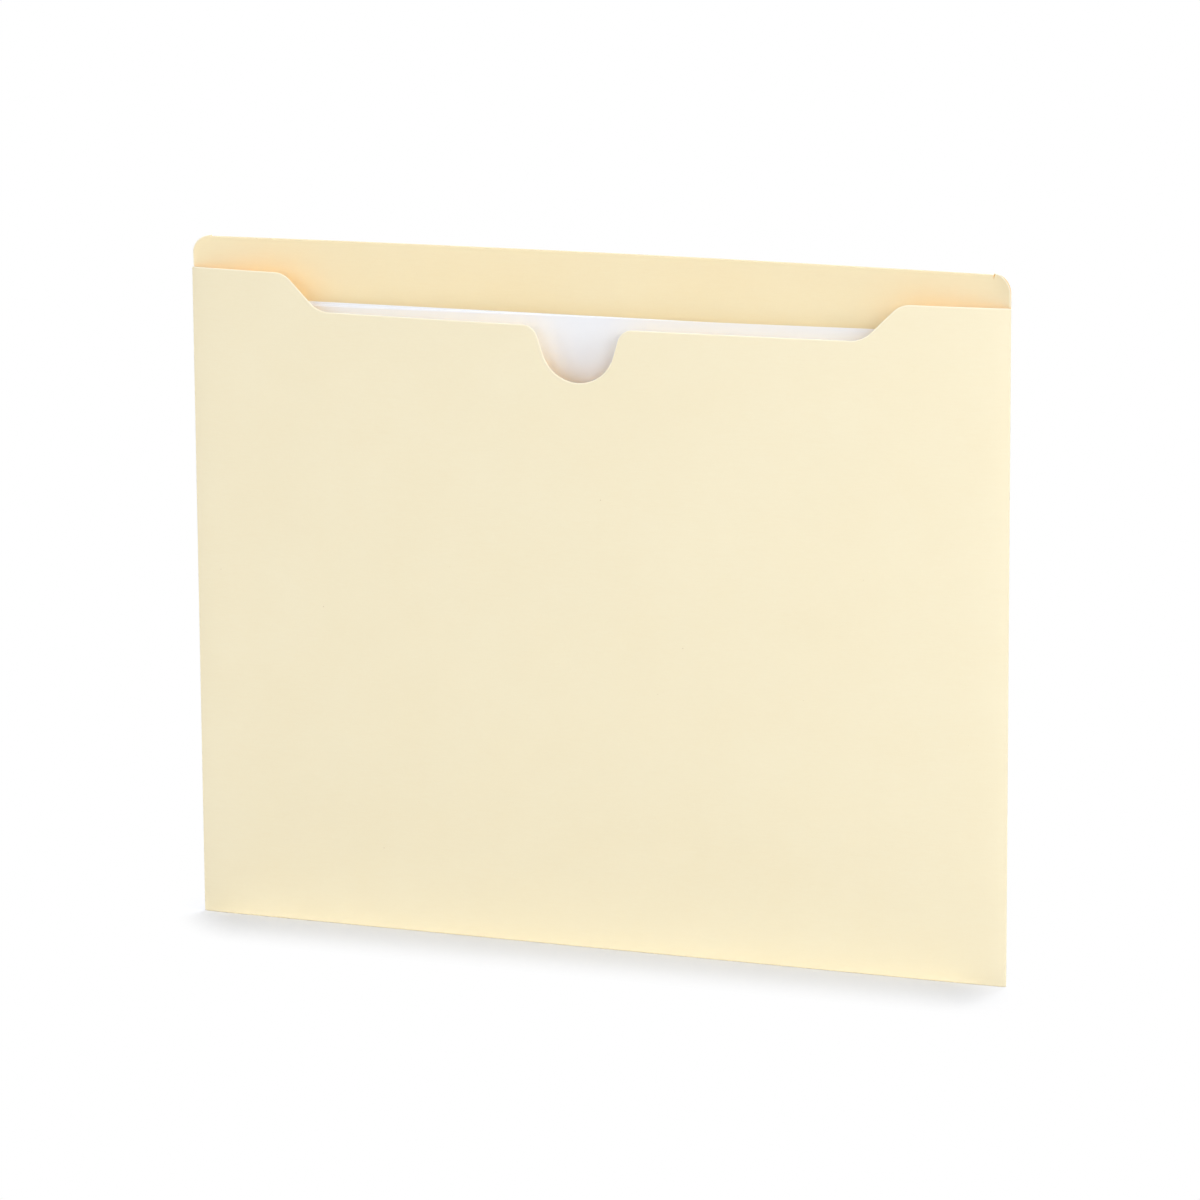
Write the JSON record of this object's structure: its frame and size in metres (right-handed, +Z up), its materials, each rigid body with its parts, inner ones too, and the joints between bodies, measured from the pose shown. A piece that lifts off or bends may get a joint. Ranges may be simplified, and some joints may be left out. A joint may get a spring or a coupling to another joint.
{
  "type": "file jacket",
  "caption": "Flat manila file jacket with an undercut front, a thumb notch and a double-ply tab, open at the top and holding loose letter sheets.",
  "frame": {"origin": "middle of the flat base of the bottom fold, midway between the side seams", "axes": "+X along the bottom fold to the viewer's right, the front faces -Y, +Z up towards the tab"},
  "size_m": [0.2984, 0.017, 0.2413],
  "materials": {
    "manila_card": "matt uncoated cream card with a fine fibre mottle",
    "white_paper": "plain white office paper",
    "dried_glue": "dried clear adhesive"
  },
  "bodies": {
    "jacket": {"front_panel": "manila_card", "back_panel": "manila_card", "bottom_fold": "manila_card", "left_side_flap": "manila_card", "right_side_flap": "manila_card", "tab_ply": "manila_card", "left_seam_glue": "dried_glue", "right_seam_glue": "dried_glue", "tab_glue": "dried_glue"},
    "sheet_01": {"paper_sheet_01": "white_paper"},
    "sheet_02": {"paper_sheet_02": "white_paper"},
    "sheet_03": {"paper_sheet_03": "white_paper"},
    "sheet_04": {"paper_sheet_04": "white_paper"},
    "sheet_05": {"paper_sheet_05": "white_paper"},
    "sheet_06": {"paper_sheet_06": "white_paper"},
    "sheet_07": {"paper_sheet_07": "white_paper"},
    "sheet_08": {"paper_sheet_08": "white_paper"},
    "sheet_09": {"paper_sheet_09": "white_paper"},
    "sheet_10": {"paper_sheet_10": "white_paper"},
    "sheet_11": {"paper_sheet_11": "white_paper"},
    "sheet_12": {"paper_sheet_12": "white_paper"}
  },
  "joints": [
    {"name": "sheet_01_lift", "type": "slide", "parent": "jacket", "child": "sheet_01", "axis": [0, 0, 1], "range_m": [0, 0.242]},
    {"name": "sheet_02_lift", "type": "slide", "parent": "jacket", "child": "sheet_02", "axis": [0, 0, 1], "range_m": [0, 0.242]},
    {"name": "sheet_03_lift", "type": "slide", "parent": "jacket", "child": "sheet_03", "axis": [0, 0, 1], "range_m": [0, 0.242]},
    {"name": "sheet_04_lift", "type": "slide", "parent": "jacket", "child": "sheet_04", "axis": [0, 0, 1], "range_m": [0, 0.242]},
    {"name": "sheet_05_lift", "type": "slide", "parent": "jacket", "child": "sheet_05", "axis": [0, 0, 1], "range_m": [0, 0.242]},
    {"name": "sheet_06_lift", "type": "slide", "parent": "jacket", "child": "sheet_06", "axis": [0, 0, 1], "range_m": [0, 0.242]},
    {"name": "sheet_07_lift", "type": "slide", "parent": "jacket", "child": "sheet_07", "axis": [0, 0, 1], "range_m": [0, 0.242]},
    {"name": "sheet_08_lift", "type": "slide", "parent": "jacket", "child": "sheet_08", "axis": [0, 0, 1], "range_m": [0, 0.242]},
    {"name": "sheet_09_lift", "type": "slide", "parent": "jacket", "child": "sheet_09", "axis": [0, 0, 1], "range_m": [0, 0.242]},
    {"name": "sheet_10_lift", "type": "slide", "parent": "jacket", "child": "sheet_10", "axis": [0, 0, 1], "range_m": [0, 0.242]},
    {"name": "sheet_11_lift", "type": "slide", "parent": "jacket", "child": "sheet_11", "axis": [0, 0, 1], "range_m": [0, 0.242]},
    {"name": "sheet_12_lift", "type": "slide", "parent": "jacket", "child": "sheet_12", "axis": [0, 0, 1], "range_m": [0, 0.242]}
  ]
}
